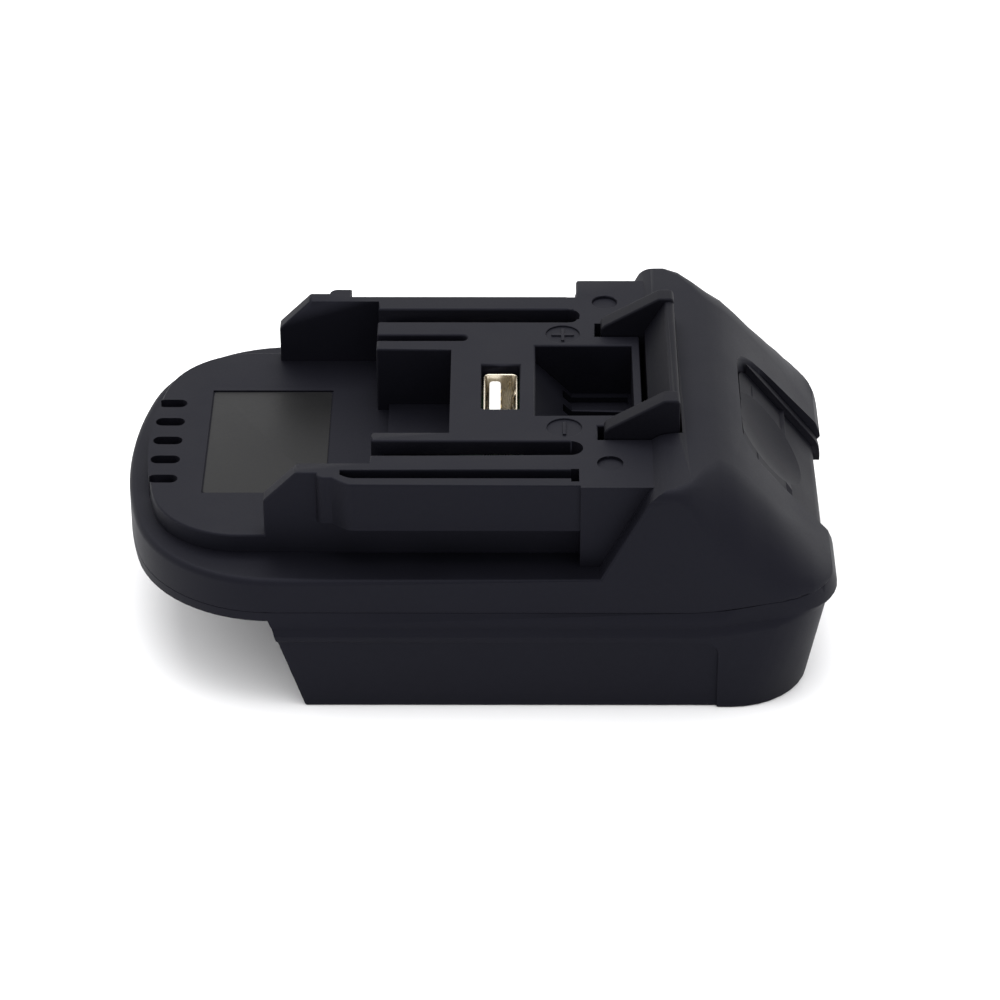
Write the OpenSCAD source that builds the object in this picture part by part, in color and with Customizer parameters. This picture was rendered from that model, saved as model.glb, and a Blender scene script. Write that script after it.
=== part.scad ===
// Slide-on battery adapter for power tools, in millimetres.
// The base lies on z = 0, x runs from the round vented end to the button end,
// and the part is centred on y = 0.

/* [Housing] */
// Width over the flange
flange_w = 73.1; // [72:0.1:76]
// Height of the parting line above the base
part_h = 18; // [17.2:0.1:19.5]
// Height of the flange's side above the parting line
flange_h = 6.2; // [5.6:0.1:7.4]
// Rise of the deck above the flange
deck_h = 3.3; // [2.8:0.1:4.6]
// Rise of the plate above the deck
plate_h = 11.8; // [11:0.1:13.4]
// Wall thickness of the mouldings
wall = 2.4; // [2:0.1:2.8]
// Thickness of the plate
plate_t = 2.6; // [2:0.1:3]
// Radius of the round end
nose_r = 75; // [65:1:95]
// Radius of the round end's corners
nose_corner_r = 23.5; // [18:0.5:26]
// How far the parting line climbs towards the button end
seam_rise = 2.7; // [1.8:0.1:3]

/* [Deck] */
// Length from the round end to the plate
deck_l = 40.8; // [39:0.1:43]
// Width of the ledge around the deck at the round end
ledge = 3.2; // [2.8:0.1:4]
// Radius of the deck's corners
deck_corner_r = 15; // [11:0.5:17]
// Length of the side walls beside the deck
side_wall_l = 17; // [15:0.1:19]
// Thickness of the side walls
side_wall_t = 2.85; // [2.2:0.05:3.2]
// Length of the cut corner at the side walls' ends
side_cut = 5.3; // [4:0.1:7]
// Number of vents
vent_count = 5; // [3:1:5]
// Spacing of the vents
vent_pitch = 5.85; // [5:0.05:6]
// Width of a vent
vent_w = 2.4; // [1.8:0.1:2.8]
// Length of a vent
vent_l = 4.85; // [4:0.05:6]
// Length of the bare label recess
label_l = 20.3; // [16:0.1:22]
// Width of the bare label recess
label_w = 31.8; // [24:0.1:36]
// Depth of the bare label recess
label_sink = 0.3; // [0.2:0.05:0.6]

/* [Rails] */
// Width of the neck that carries the rails
neck_w = 56.8; // [55.6:0.1:57.6]
// Width over the rails
rail_w = 63.9; // [62.6:0.1:64.8]
// Height of the groove below the rails
rail_gap = 6.5; // [6:0.1:7.4]
// How far the far rail's rim lies below the plate
rail_drop = 3; // [2.6:0.1:3.6]
// Length of the plate from its free edge to the rail stops
rail_l = 33.46; // [32.4:0.02:35]
// Length of a rail's tapered lead-in
lead_in = 6; // [4:0.1:7]
// How far a rail reaches past the plate's free edge
rail_reach = 8.5; // [7:0.1:9]
// Width of the cored slot in a rail
core_w = 2.5; // [2:0.1:2.6]
// Width over the rail stops
stop_w = 65.2; // [64.4:0.1:66.4]

/* [Slots and pockets] */
// Distance of a contact slot from the centre line
slot_y = 20.9; // [20.6:0.1:21.2]
// Width of a contact slot
slot_w = 4.2; // [4.2:0.1:4.8]
// Length of a contact slot
slot_l = 34; // [32:0.1:34.4]
// Distance of the key slot from the centre line
key_y = 13.6; // [13.2:0.1:14.2]
// Width of the key slot
key_w = 1.8; // [1.6:0.1:2.4]
// Length of the key slot
key_l = 15.1; // [12:0.1:17]
// Length of the connector pocket
pocket_l = 12.5; // [11:0.1:14]
// Near side of the connector pocket
pocket_near = 16.4; // [15:0.1:16.6]
// Far side of the connector pocket
pocket_far = 9.7; // [8:0.1:10.6]
// Step up from the deck to the pocket's floor
pocket_step = 1.1; // [0.6:0.1:1.6]
// Length of the window ahead of the hook
window_l = 16; // [14:0.1:17]
// Width of the window ahead of the hook
window_w = 22.1; // [20:0.1:23]
// Depth of the window
window_d = 9.4; // [8:0.1:10]
// Depth at which the window's ramp starts
ramp_d = 3.3; // [2:0.1:4.5]
// Number of grooves in the window's floor
groove_count = 5; // [3:1:5]
// Diameter of the dimples beside the hook
dimple_d = 4.2; // [3:0.1:5]

/* [Saddle] */
// Rise of the saddle's ridge above the plate
ridge_rise = 1.2; // [0.8:0.1:1.8]
// Radius between the slanted face and the ridge
brow_r = 5.2; // [4:0.1:6]
// Slope of the button end, in degrees
slope_a = 47.8; // [46:0.2:49]
// Radius between the slope and the button end
front_r = 4.5; // [4:0.1:5.2]
// Radius of the button end's corners in plan
front_corner_r = 9.4; // [7.4:0.2:11]
// Radius of the soft edge along the slope
soft_r = 12; // [9:0.5:13]
// Radius of the shoulder beside the ridge
shoulder_r = 1.8; // [1.5:0.1:3]
// Lean of the saddle's sides above the flange, as a share of height
side_lean = 0.03; // [0.02:0.01:0.08]
// Distance from the rail stops to the saddle's foot
saddle_foot = 3.15; // [2.4:0.05:4]
// Length from the rail stops to the button end
saddle_l = 41.64; // [40:0.02:44]
// Distance from the rail stops to the saddle's top edge
saddle_top = 11.06; // [10.4:0.02:12]

/* [Latch] */
// Height of the hook above the plate
hook_h = 6.9; // [6.4:0.1:7.6]
// Length of the hook
hook_l = 12.1; // [11.8:0.1:13]
// Distance of an arm from the centre line
arm_y = 16.2; // [16:0.1:16.6]
// Thickness of an arm
arm_t = 3.3; // [2.8:0.1:3.5]
// Travel of the latch
travel = 7; // [5:0.1:7]
// Running gap around the latch
latch_gap = 0.4; // [0.3:0.05:0.5]
// Width of the crossbar's slot ahead of the crossbar
bar_gap = 0.95; // [0.6:0.05:1.1]
// Thickness of the crossbar
bar_t = 4.8; // [4.4:0.1:5.6]
// Width of the button
button_w = 32.4; // [30:0.1:33]
// Length of the button's recess along the slope, in plan
recess_l = 15.05; // [14.4:0.05:16]
// Radius of the recess's corners
recess_r = 5.8; // [3:0.1:6.4]
// How far the button lies below the slope at its upper end
button_sink = 2.4; // [2.2:0.1:3]
// How much steeper than the slope the button is, in degrees
button_tilt = 3; // [0:0.5:4]
// Thickness of the button's wall
button_t = 2.4; // [2:0.1:2.6]
// Height of the rims along the button's sides
rim_h = 1.2; // [0.6:0.1:1.6]
// Depth of the thumb hollow
hollow_d = 1; // [0.6:0.1:1.4]

/* [Springs] */
// Wire diameter of a latch spring
spring_wire = 0.65; // [0.5:0.05:0.8]
// Mean diameter of a latch spring
spring_d = 6; // [5.6:0.1:6.6]
// Curls of a latch spring
spring_curls = 7; // [5:1:8]
// Distance of a spring from the centre line
spring_y = 8; // [7:0.1:9]

/* [Port] */
// Outer width of the port's metal shell
port_w = 13.4; // [13.1:0.1:13.6]
// Outer thickness of the port's metal shell
port_t = 5.7; // [5.5:0.1:6]
// Thickness of the port's sheet metal
port_sheet = 0.35; // [0.3:0.05:0.45]
// Gap between the port and its opening in the plate
port_gap = 0.3; // [0.2:0.05:0.5]
// Distance of the port's centre from the plate's free edge
port_x = 20.7; // [20.3:0.1:21.3]
// Distance of the port's centre from the centre line, towards the near side
port_y = 2.2; // [1:0.1:2.5]
// How far the port's mouth lies below the plate
port_sink = 1.5; // [0.8:0.1:2]

/* [Battery bay] */
// How far the skirts stand proud of the parting band
skirt_step = 0.75; // [0.5:0.05:1.1]
// Thickness of the skirts beside the bay
skirt_t = 3.8; // [3.2:0.1:4.6]
// Thickness of the bay's ceiling
ceiling_t = 2.6; // [2.4:0.1:3]
// Thickness of the cover under the round end
cover_t = 1.6; // [1.4:0.1:2]
// Width of the bay's rails
bay_rail_w = 6; // [5:0.1:7]
// Height of the bay's rails
bay_rail_h = 3.5; // [3:0.1:4.2]
// Height of the bay's rails above the base
bay_rail_z = 2; // [1.6:0.1:3]
// Depth of the side panels
panel_sink = 0.5; // [0.3:0.1:0.8]
// Distance of a battery blade from the centre line
blade_y = 12; // [11.4:0.1:12.4]
// Thickness of a battery blade
blade_t = 0.8; // [0.6:0.1:1]
// Width of a battery blade
blade_w = 6.3; // [5:0.1:7]
// Free length of a battery blade
blade_l = 15; // [12:0.5:18]

/* [Converter] */
// Length of the converter board
board_l = 29; // [28.4:0.1:29.6]
// Width of the converter board
board_w = 48; // [47.4:0.2:48.6]
// Thickness of the converter board
board_t = 1.6; // [1.2:0.1:1.8]
// Height of the board's posts
post_h = 2; // [1.6:0.1:2.4]
// Length of an output clip
clip_l = 16; // [12:0.5:17]
// Sheet thickness of an output clip
clip_t = 0.6; // [0.4:0.05:0.7]
// Width of the coil's core
coil_w = 9; // [7:0.5:9]
// Height of the coil
coil_h = 4.4; // [3.5:0.1:4.6]
// Diameter of a capacitor
cap_d = 6.3; // [5:0.1:6.5]
// Height of a capacitor
cap_h = 4.8; // [4:0.1:5]
// Diameter of a lead
lead_d = 1.8; // [1.4:0.1:2]

/* [Fasteners] */
// Shank diameter of a housing screw
screw_d = 3; // [2.6:0.1:3.2]
// Head diameter of a housing screw
head_d = 5.6; // [5:0.1:5.8]
// Head height of a housing screw
head_h = 2; // [1.6:0.1:2.2]
// Shank diameter of a board screw
board_screw_d = 2; // [1.6:0.1:2.2]
// Radial fit of a screw in its bore
screw_fit = 0.05; // [0.03:0.01:0.1]
// Seating gap between fixed pieces
seat_gap = 0.05; // [0.03:0.01:0.1]

/* [Hidden] */
$fn = 48;
far = 200;
over = 1;
skim = 0.02;
bar_strip = 1.3;

// Heights
flange_z = part_h + flange_h;
deck_z = flange_z + deck_h;
plate_z = deck_z + plate_h;
ridge_z = plate_z + ridge_rise;
hook_z = plate_z + hook_h;
rail_z0 = flange_z + rail_gap;
rail_z1 = plate_z - rail_drop;
roof_z = plate_z - plate_t;
ceiling_z = part_h - ceiling_t;
cover_z = part_h - cover_t;

// Places along the length
body_l = deck_l + rail_l + saddle_l;
nose_x = -body_l / 2;
front_x = body_l / 2;
deck_x = nose_x + ledge;
plate_x = nose_x + deck_l;
side_x = plate_x - side_wall_l;
stop_x = plate_x + rail_l;
foot_x = stop_x + saddle_foot;
crest_x = stop_x + saddle_top;
hook_x1 = crest_x + 5;
hook_x0 = hook_x1 - hook_l;
bar_x0 = hook_x1 - bar_t;
slot_x1 = hook_x1 + latch_gap;
window_x1 = bar_x0 - bar_gap - bar_strip;
window_x0 = window_x1 - window_l;
recess_x = front_x - recess_l;
bay_x1 = front_x - 20.4;
chamber_x = bay_x1 + 2;
seam_x0 = crest_x + 6.4;
seam_x1 = front_x - 4;

// Half widths
flange_y = flange_w / 2;
skirt_y = flange_y + skirt_step;
neck_y = neck_w / 2;
rail_y = rail_w / 2;
stop_y = stop_w / 2;
bay_y = skirt_y - skirt_t;
button_y = button_w / 2;
recess_y = button_y + latch_gap;
inner_y = neck_y - wall;

// Slope of the button end: a line that touches the front round, centred on the parting height
front_cx = front_x - front_r;
lip_x = front_cx + sqrt(front_r * front_r - seam_rise * seam_rise);
function slope_z(x) = part_h + (front_r - (x - front_cx) * sin(slope_a)) / cos(slope_a);
function slope_x(z) = front_cx + (front_r - (z - part_h) * cos(slope_a)) / sin(slope_a);

// Face of the button: steeper than the slope, rounded into the button's foot
button_x0 = recess_x + latch_gap;
button_x1 = front_x - 1.3;
button_a = slope_a + button_tilt;
function button_z(x) = slope_z(button_x0) - button_sink - (x - button_x0) * tan(button_a);
button_cx = button_x1 - front_r;
button_cz = button_z(button_cx) - front_r / cos(button_a);
button_foot_z = button_cz - 0.9;

function smooth(t) = let (c = min(max(t, 0), 1)) c * c * (3 - 2 * c);
function blend(a, b, k) = let (h = max(k - abs(a - b), 0) / k) min(a, b) - h * h * k / 4;
function seam(x) = part_h + seam_rise * smooth((x - seam_x0) / (seam_x1 - seam_x0));
function arc(c, r, a0, a1, n) = [for (i = [0:n]) c + r * [cos(a0 + (a1 - a0) * i / n), sin(a0 + (a1 - a0) * i / n)]];
function flip(points) = [for (i = [len(points) - 1:-1:0]) [points[i][0], -points[i][1]]];

// Plan of a round end: one wide arc between two corner arcs, then straight sides to x1
function round_end(x0, half, big_r, corner_r, x1) =
    let (
        cy = half - corner_r,
        big_x = x0 + big_r,
        cx = big_x - sqrt(pow(big_r - corner_r, 2) - cy * cy),
        turn = atan2(cy, cx - big_x),
        side = concat(
            arc([big_x, 0], big_r, 180, turn, 10),
            arc([cx, cy], corner_r, turn, 90, 14),
            [[x1, half]]
        )
    )
    concat(side, flip(side));

// Solids
module plan(z0, z1) {
    translate([0, 0, z0]) linear_extrude(z1 - z0) children();
}
module across(y0, y1) {
    translate([0, y1, 0]) rotate([90, 0, 0]) linear_extrude(y1 - y0) children();
}
module along(x0, x1) {
    translate([x0, 0, 0]) rotate([90, 0, 90]) linear_extrude(x1 - x0) children();
}
module box(x0, x1, y0, y1, z0, z1) {
    translate([x0, y0, z0]) cube([x1 - x0, y1 - y0, z1 - z0]);
}
module post(x, y, z0, z1, d) {
    translate([x, y, z0]) cylinder(h = z1 - z0, d = d);
}
module both_sides() {
    children();
    mirror([0, 1, 0]) children();
}

// Closed solid through rings of equal, even point counts, each ring given in order around the solid
module skin(rings) {
    n = len(rings[0]);
    m = len(rings);
    sides = [
        for (i = [0:m - 2], j = [0:n - 1], t = [0, 1])
            let (k = (j + 1) % n, a = i * n, b = a + n)
            t == 0 ? [a + j, b + j, b + k] : [a + j, b + k, a + k]
    ];
    caps = [
        for (j = [0:n / 2 - 2], t = [0, 1], e = [0, (m - 1) * n])
            let (f = t == 0 ? [j, j + 1, n - 2 - j] : [j, n - 2 - j, n - 1 - j])
            e == 0 ? f : [e + f[0], e + f[2], e + f[1]]
    ];
    polyhedron([for (r = rings) each r], concat(sides, caps), convexity = 6);
}

// Saddle
function end_half(x, half, r, x1) =
    let (d = max(x - (x1 - r), 0)) half - r + sqrt(max(r * r - d * d, 0));
function crest_z(x) =
    let (touch = front_cx + front_r * sin(slope_a))
    x > touch ? part_h + sqrt(max(front_r * front_r - pow(x - front_cx, 2), 0)) : blend(ridge_z, slope_z(x), 4);
function edge_r(x) = shoulder_r + (soft_r - shoulder_r) * smooth((x - crest_x - 4) / 8);
function saddle_half(x) =
    let (
        half = end_half(x, flange_y, front_corner_r, lip_x),
        r = edge_r(x),
        top = max(crest_z(x), seam(x)) + skim,
        drop = min(r, 0.92 * (top - seam(x))),
        turn_z = top - drop,
        knee_z = min(flange_z, turn_z),
        turn_y = half - side_lean * (turn_z - knee_z)
    )
    concat(
        [[half, part_h], [half, knee_z]],
        [for (i = [0:6]) [turn_y - r * (1 - cos(i * 15)), turn_z + drop * sin(i * 15)]]
    );
function saddle_ring(x) =
    let (h = saddle_half(x))
    [for (p = concat(h, [for (i = [len(h) - 1:-1:0]) [-h[i][0], h[i][1]]])) [x, p[0], p[1]]];
saddle_stations = concat(
    [for (i = [0:11]) foot_x - 5 + i * (recess_x - 2 - foot_x + 5) / 11],
    [for (i = [1:5]) recess_x - 2 + i * (front_cx - recess_x + 2) / 5],
    [for (i = [1:9]) front_cx + front_r * sin(asin((lip_x - front_cx) / front_r) * i / 9)]
);
// Slanted face beside the rail stops, rounded into the ridge
slant_a = atan2(plate_z - flange_z, crest_x - foot_x);
function slant_x(z) = foot_x + (z - flange_z) / tan(slant_a);
brow_z = ridge_z + skim - brow_r;
brow_x = slant_x(brow_z) + brow_r / sin(slant_a);
module saddle() {
    difference() {
        skin([for (x = saddle_stations) saddle_ring(x)]);
        across(-far, far) polygon(concat(
            [[slant_x(part_h - over), part_h - over]],
            arc([brow_x, brow_z], brow_r, 90 + slant_a, 90, 8),
            [[brow_x, ridge_z + over], [-far, ridge_z + over], [-far, part_h - over]]
        ));
    }
}

module above_seam(lift) {
    steps = 10;
    run = seam_x1 - seam_x0;
    curve = [for (i = [0:steps]) [seam_x0 + run * i / steps, seam(seam_x0 + run * i / steps) + lift]];
    across(-far, far) polygon(concat(
        [[-far, part_h + lift]], curve, [[far, part_h + seam_rise + lift], [far, far], [-far, far]]
    ));
}

// Rails with a tapered lead-in, a cored slot and a notch before the stop
rail_x0 = plate_x - rail_reach;
core_x0 = rail_x0 + 3.8;
core_x1 = stop_x - 0.2;
core_y0 = neck_y - 1;
core_y1 = core_y0 + core_w;
pad_y = neck_y + 1.4;
function lead_curve() = [
    for (i = [0:8]) [rail_x0 + lead_in * i / 8, neck_y + (rail_y - neck_y) * smooth(i / 8)]
];
module rail_plan() {
    polygon(concat(
        [[stop_x + over, neck_y - over], [rail_x0, neck_y - over]], lead_curve(), [[stop_x + over, rail_y]]
    ));
    rail_pad();
}
// Blunt start of a rail, level with the plate
module rail_pad() {
    polygon(concat([[core_x0, neck_y - over], [rail_x0, neck_y - over]],
        arc([rail_x0 + 1.4, pad_y - 1.4], 1.4, 180, 90, 5), [[core_x0, pad_y]]));
}
module core_plan() {
    difference() {
        translate([core_x0, core_y0]) square([core_x1 - core_x0, core_w]);
        polygon(concat([for (p = lead_curve()) p - [0, rail_y - core_y1]], [[rail_x0 + lead_in, far], [rail_x0, far]]));
    }
    translate([core_x1 - 1.3, core_y0 - 0.3]) square([1.3, core_w + 1.2]);
}
module rail(rim_z) {
    difference() {
        union() {
            plan(rail_z0, rim_z) rail_plan();
            plan(rail_z0, plate_z) rail_pad();
        }
        plan(rail_z0 + wall, far) core_plan();
    }
}
module rail_cores() {
    both_sides() plan(rail_z0 + wall, far) core_plan();
    // Beside the far plate edge, above the rail's rim
    plan(rail_z1, far) translate([core_x0, core_y0]) square([core_x1 - core_x0, far]);
}

module rounded_slot(x0, x1, y, w) {
    translate([x0, y - w / 2]) square([x1 - w / 2 - x0, w]);
    translate([x1 - w / 2, y]) circle(d = w);
}
module rounded_bar(x0, x1, y, w) {
    translate([x0 + w / 2, y - w / 2]) square([x1 - x0 - w, w]);
    for (x = [x0 + w / 2, x1 - w / 2]) translate([x, y]) circle(d = w);
}

// Fixings
nose_screw_x = side_x - 5;
nose_screw_y = 18;
front_screw_x = recess_x + 2.7;
front_screw_y = 25;
nose_joint_z = part_h + 2.8;
front_seat_z = part_h - 6.2;
nose_seat_z = cover_z + 2.4;
front_boss_z = slope_z(front_screw_x + 5) - 1.5;

module top_solid() {
    plan(part_h, flange_z) polygon(round_end(nose_x, flange_y, nose_r, nose_corner_r, crest_x - 1));
    plan(part_h, deck_z) polygon(round_end(deck_x, neck_y, nose_r, deck_corner_r, stop_x + over));
    across(-neck_y, neck_y) polygon([
        [side_x, part_h], [side_x, plate_z - side_cut], [side_x + side_cut, plate_z],
        [stop_x + over, plate_z], [stop_x + over, part_h]
    ]);
    rail(rail_z1);
    mirror([0, 1, 0]) rail(plate_z);
    box(stop_x, brow_x - 1, -stop_y, stop_y, part_h, plate_z);
    saddle();
}

window_y = 0;
pocket_x1 = plate_x + pocket_l;
port_cx = plate_x + port_x;
module top_hollows() {
    // Under the flange, the deck and the plate
    plan(part_h - over, flange_z - wall)
        polygon(round_end(nose_x + wall, flange_y - wall, nose_r, nose_corner_r, foot_x - wall));
    plan(part_h - over, deck_z - wall)
        polygon(round_end(deck_x + wall / 2, inner_y, nose_r, deck_corner_r, plate_x + 2));
    box(plate_x + 2, stop_x + wall + 0.5, -inner_y, inner_y, part_h - over, roof_z);
    box(stop_x + wall, bar_x0, -(stop_y - wall), stop_y - wall, part_h - over, roof_z);
    // Latch chamber below the ridge and the slope
    across(-(arm_y + arm_t), arm_y + arm_t) polygon([
        [bar_x0 - over, part_h - over], [bar_x0 - over, roof_z], [slope_x(roof_z + wall * 1.5), roof_z],
        [recess_x + 0.5, slope_z(recess_x + 0.5) - wall * 1.5], [recess_x + 0.5, part_h - over]
    ]);
    // Hollow flanks of the saddle
    across(-(stop_y - wall), stop_y - wall) polygon([
        [bar_x0 - over, part_h - over], [bar_x0 - over, flange_z + 6], [slope_x(flange_z + 16), flange_z + 6],
        [front_x - front_corner_r, part_h - over]
    ]);
}

module top_wells() {
    // Walls around the connector pocket and the window, hanging from the plate
    box(plate_x, pocket_x1 + 1.6, -pocket_near - 1.6, pocket_far + 1.6, deck_z + pocket_step - 1.8, plate_z - over);
    box(window_x0 - 1.4, window_x1 + bar_strip, window_y - window_w / 2 - 1.2, window_y + window_w / 2 + 1.2,
        plate_z - window_d - 1.8, plate_z - over);
    both_sides() {
        post(nose_screw_x, nose_screw_y, nose_joint_z + seat_gap, deck_z - over, screw_d + 4);
        post(front_screw_x, front_screw_y, part_h, front_boss_z, screw_d + 5);
    }
}

module recess_plan(inset) {
    r = recess_r - inset;
    half = recess_y - inset;
    translate([recess_x + recess_r, -half]) square([far, 2 * half]);
    translate([recess_x + inset, r - half]) square([far, 2 * (half - r)]);
    for (s = [-1, 1]) translate([recess_x + recess_r, s * (half - r)]) circle(r = r);
}
module top_openings() {
    // Channel between the side walls
    box(side_x - over, plate_x, -(neck_y - side_wall_t), neck_y - side_wall_t, deck_z, far);
    rail_cores();
    // Contact slots, key slot and connector pocket
    both_sides() plan(rail_z0 - 0.5, far) rounded_slot(plate_x - over, plate_x + slot_l, slot_y, slot_w);
    plan(roof_z - 3, far) rounded_slot(plate_x - over, plate_x + key_l, key_y, key_w);
    across(-pocket_near, pocket_far) polygon([
        [plate_x - over, deck_z], [plate_x + 2, deck_z], [plate_x + 2, deck_z + pocket_step],
        [pocket_x1, deck_z + pocket_step], [pocket_x1, plate_z + over], [plate_x - over, plate_z + over]
    ]);
    // Port
    box(port_cx - port_t / 2 - port_gap, port_cx + port_t / 2 + port_gap,
        -port_y - port_w / 2 - port_gap, -port_y + port_w / 2 + port_gap, roof_z - over, far);
    // Window with its ramp and grooves
    across(window_y - window_w / 2, window_y + window_w / 2) polygon([
        [window_x0, plate_z - ramp_d], [window_x0 + window_d - ramp_d, plate_z - window_d],
        [window_x1, plate_z - window_d], [window_x1, plate_z + over], [window_x0, plate_z + over]
    ]);
    for (i = [0:groove_count - 1])
        box(window_x0 + window_d - ramp_d - 1.5, window_x1 - 0.5,
            window_y - 1 + (i - (groove_count - 1) / 2) * 4.4, window_y + 1 + (i - (groove_count - 1) / 2) * 4.4,
            plate_z - window_d - 1, plate_z - ramp_d);
    // Slots for the hook's arms and crossbar
    both_sides()
        box(hook_x0 - 1, slot_x1, arm_y - arm_t / 2 - latch_gap, arm_y + arm_t / 2 + latch_gap, roof_z - over, far);
    box(bar_x0 - bar_gap, slot_x1, -arm_y, arm_y, roof_z - over, far);
    // Button recess
    plan(part_h - over, far) recess_plan(0);
    // Vents through the deck and its end wall
    for (i = [0:vent_count - 1]) {
        y = (i - (vent_count - 1) / 2) * vent_pitch;
        plan(deck_z - wall - over, far) rounded_bar(vent_x, vent_x + vent_l, y, vent_w);
        box(deck_x - over, deck_x + wall + over, y - vent_w / 2, y + vent_w / 2, flange_z + 0.7, deck_z - 1.3);
    }
    // Bare label recess and dimples
    box(plate_x - 7.6 - label_l, plate_x - 7.6, -label_w / 2, label_w / 2, deck_z - label_sink, far);
    both_sides() {
        post(hook_x0 + 0.8, stop_y - 7.2, plate_z - 0.5, far, dimple_d);
        post(nose_screw_x, nose_screw_y, nose_joint_z - over, deck_z - wall - 0.2, screw_d + 2 * screw_fit);
        post(front_screw_x, front_screw_y, part_h - over, front_boss_z - 1, screw_d + 2 * screw_fit);
    }
}
vent_x = deck_x + 0.7;

module top_shell() {
    color("#2b2c30") intersection() {
        difference() {
            union() {
                difference() {
                    top_solid();
                    top_hollows();
                }
                top_wells();
            }
            top_openings();
        }
        above_seam(0);
    }
}

// Lower shell
block_front = front_x - 4.2;
block_r = 13;
// Ring at one level: sides of the skirts, then the corner at the button end
function skirt_points(x0, half, x1, r, n) = concat(
    [[x0, half], [(x0 + seam_x0) / 2, half]],
    [for (i = [0:5]) [seam_x0 + (x1 - r - seam_x0) * i / 5, half]],
    [for (i = [1:n]) [x1 - r + r * sin(90 * i / n), half - r + r * cos(90 * i / n)]]
);
function skirt_ring(x0, half, x1, r, drop) =
    let (side = skirt_points(x0, half, x1, r, 9))
    [for (p = concat(side, flip(side))) [p[0], p[1], seam(p[0]) - drop]];
function level(ring, z) = [for (p = ring) [p[0], p[1], z]];
skirt_x0 = side_x + 6.2;
panel_x1 = bay_x1 + 1;
panel_z = part_h - 5.25;
panel_r = 2.5;
module skirt_solid() {
    top_ring = skirt_ring(skirt_x0 - 6.3, flange_y, lip_x, front_corner_r, 0);
    skin([
        level(top_ring, part_h + seam_rise + over),
        top_ring,
        skirt_ring(skirt_x0 - 5.7, flange_y, front_x - (front_x - lip_x) / 3, front_corner_r, seam_rise / 2),
        skirt_ring(skirt_x0 - 5.2, flange_y, front_x, front_corner_r, seam_rise),
        skirt_ring(skirt_x0 - 4.95, flange_y, front_x - 0.4, front_corner_r, seam_rise + 0.5),
        skirt_ring(skirt_x0 - 4.6, skirt_y, front_x - 1.4, front_corner_r + 1, seam_rise + 1.5),
        level(skirt_ring(skirt_x0, skirt_y, block_front, block_r, 0), 0)
    ]);
}
module bottom_solid() {
    skirt_solid();
    plan(cover_z, part_h) polygon(round_end(nose_x, flange_y, nose_r, nose_corner_r, crest_x - 1));
}
module bottom_hollows() {
    // Battery bay, open below and at the round end
    box(-far, bay_x1, -bay_y, bay_y, -over, ceiling_z);
    box(-far, skirt_x0 - 6.3, -far, far, -over, cover_z);
    // Chamber behind the button
    difference() {
        box(chamber_x, chamber_x1, -(stop_y - wall), stop_y - wall, wall, far);
        both_sides() post(front_screw_x, front_screw_y, 0, far, head_d + 3.2);
    }
    // Cut-out for the button
    box(chamber_x + over, far, -recess_y, recess_y, cut_z, far);
    // Opening above the bay's end for the blades' tails
    both_sides()
        box(tail_x0 - seat_gap, tail_x1 + seat_gap, blade_y - blade_t / 2 - seat_gap, blade_y + blade_t / 2 + seat_gap,
            0, far);
    // Side panels
    both_sides() translate([0, skirt_y - panel_sink, 0]) across(0, far) {
        translate([skirt_x0 - 12, -over]) square([panel_x1 - skirt_x0 + 12, panel_z + over - panel_r]);
        translate([skirt_x0 - 12, -over]) square([panel_x1 - skirt_x0 + 12 - panel_r, panel_z + over]);
        translate([panel_x1 - panel_r, panel_z - panel_r]) circle(r = panel_r);
    }
    // Screw holes
    both_sides() {
        post(nose_screw_x, nose_screw_y, 0, far, screw_d + 2 * screw_fit + 0.2);
        post(nose_screw_x, nose_screw_y, 0, nose_seat_z, head_d + 0.6);
        post(front_screw_x, front_screw_y, -over, far, screw_d + 2 * screw_fit + 0.2);
        post(front_screw_x, front_screw_y, -over, front_seat_z, head_d + 0.6);
    }
    for (p = board_screws_at) post(p[0], p[1], ceiling_z + 0.8, far, board_screw_d + 2 * screw_fit);
}
chamber_x1 = block_front - 2;
cut_z = button_foot_z - travel - 0.3;
skirt_foot_z = wall + travel + 0.3;
skirt_in_x = chamber_x1 - latch_gap;
spring_x = recess_x + 2.5;
shelf_z0 = part_h + 4.6;
spring_z0 = wall;
spring_z1 = shelf_z0;
pin_d = spring_d - spring_wire - 1;

module bottom_shell() {
    color("#25262a") intersection() {
        difference() {
            union() {
                bottom_solid();
                both_sides() {
                    post(nose_screw_x, nose_screw_y, cover_z, nose_joint_z, head_d + 3);
                    for (p = board_screws_at) post(p[0], abs(p[1]), part_h - over, board_z0, board_screw_d + 3);
                }
            }
            bottom_hollows();
        }
        difference() {
            box(-far, far, -far, far, -over, far);
            difference() {
                above_seam(0);
                both_sides() {
                    post(nose_screw_x, nose_screw_y, 0, nose_joint_z, head_d + 3);
                    for (p = board_screws_at) post(p[0], abs(p[1]), 0, board_z0, board_screw_d + 3);
                }
            }
        }
    }
    // Rails along the bay and the springs' locating pins
    color("#25262a") both_sides() {
        box(skirt_x0 + 3, bay_x1 - 6, bay_y - bay_rail_w, bay_y + 0.5, bay_rail_z, bay_rail_z + bay_rail_h);
        post(spring_x, spring_y, spring_z0 - 0.5, spring_z0 + 5, pin_d);
    }
}

// Release latch: hook, bridge and button in one moulding
bridge_z0 = part_h + 9.8;
bridge_z1 = bridge_z0 + 3;
bridge_y = arm_y - arm_t / 2 - 0.3;
neck_bridge_y = min(bridge_y - 1, recess_y - recess_r + 1.2);
tip_z = plate_z + 1.7;
back_x = button_x0 - over;
wide_y = button_y + over;
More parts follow.
